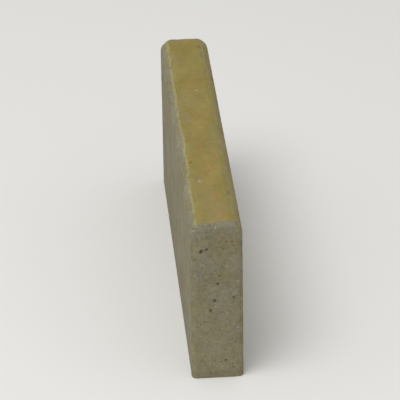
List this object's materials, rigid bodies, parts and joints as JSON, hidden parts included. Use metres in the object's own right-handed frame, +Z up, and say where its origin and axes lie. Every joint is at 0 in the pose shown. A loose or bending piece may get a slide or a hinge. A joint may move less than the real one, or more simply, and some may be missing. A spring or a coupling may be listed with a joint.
{
  "type": "concrete kerb stone",
  "caption": "Straight concrete edging kerb that stands on a narrow base, with a flat coloured top, eased shoulders along both long edges and plain sides and ends.",
  "frame": {"origin": "middle of the base, on the surface that the stone stands on", "axes": "+Z up to the flat top, +Y along the length, +X across the width"},
  "size_m": [0.06, 0.5, 0.2],
  "materials": {
    "concrete": "matte"
  },
  "bodies": {
    "root": {"kerb_stone": "concrete"}
  },
  "joints": []
}
